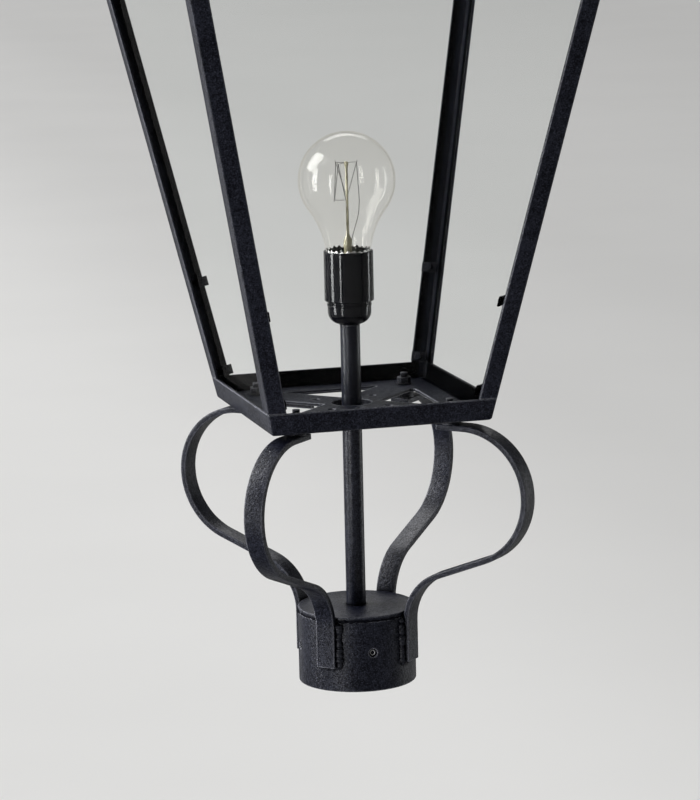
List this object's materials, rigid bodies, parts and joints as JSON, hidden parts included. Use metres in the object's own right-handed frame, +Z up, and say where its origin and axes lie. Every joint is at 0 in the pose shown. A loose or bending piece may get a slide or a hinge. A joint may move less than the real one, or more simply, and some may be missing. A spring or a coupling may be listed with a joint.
{
  "type": "street lantern",
  "caption": "Tapered four-sided glazed street lantern on a curved-leg frame with a round post socket, clear lamp on a centre tube and hinged hipped roof.",
  "frame": {"origin": "centre of the post socket's open mouth", "axes": "+Z up along the post, -Y towards the front of the lantern"},
  "size_m": [0.3546, 0.3579, 0.8709],
  "materials": {
    "painted_steel": "weathered satin black paint",
    "painted_collar": "weathered satin black paint",
    "cast_iron": "rough painted casting",
    "zinc_steel": "dull zinc",
    "hinge_steel": "painted",
    "pane_glass": "clear",
    "tube_steel": "satin",
    "dark_moulding": "semi-gloss moulding",
    "porcelain": "glazed",
    "brass": "satin",
    "cap_metal": "satin",
    "bulb_glass": "clear",
    "lamp_wire": "dull wire"
  },
  "bodies": {
    "lantern": {"collar_cover": "painted_steel", "collar_weld": "painted_steel", "leg_welds": "painted_steel", "top_frame": "painted_steel", "base_frame": "painted_steel", "leg_back_right": "painted_steel", "leg_back_left": "painted_steel", "leg_front_left": "painted_steel", "leg_front_right": "painted_steel", "upright_back_right": "painted_steel", "upright_back_left": "painted_steel", "upright_front_left": "painted_steel", "upright_front_right": "painted_steel", "post_collar": "painted_collar", "base_plate": "cast_iron", "leg_screws": "zinc_steel", "leg_washers": "zinc_steel", "leg_nuts": "zinc_steel", "grub_screws": "zinc_steel", "glazing_screws": "zinc_steel", "glazing_clips": "zinc_steel", "hinge_pins": "zinc_steel", "hinge_fixed_leaves": "hinge_steel", "pane_front": "pane_glass", "pane_right": "pane_glass", "pane_back": "pane_glass", "pane_left": "pane_glass", "centre_tube": "tube_steel", "tube_bush": "tube_steel", "holder_nipple": "tube_steel", "holder_cup": "dark_moulding", "holder_skirt": "dark_moulding", "holder_core": "porcelain", "bulb_cap_base": "porcelain", "screw_shell": "brass", "centre_contact": "brass", "bulb_cap": "cap_metal", "bulb_glass": "bulb_glass", "bulb_stem": "bulb_glass", "lamp_leads": "lamp_wire", "lamp_hooks": "lamp_wire", "filament": "lamp_wire"},
    "roof": {"roof_frame": "painted_steel", "roof_shell": "painted_steel", "vent_drum": "painted_steel", "vent_cowl": "painted_steel", "finial": "cast_iron", "finial_nut": "zinc_steel", "hinge_roof_leaves": "hinge_steel"}
  },
  "joints": [
    {"name": "roof_hinge", "type": "hinge", "parent": "lantern", "child": "roof", "pos_m": [0, 0.17712, 0.6244], "axis": [-1, 0, 0], "range_deg": [0, 100]}
  ]
}
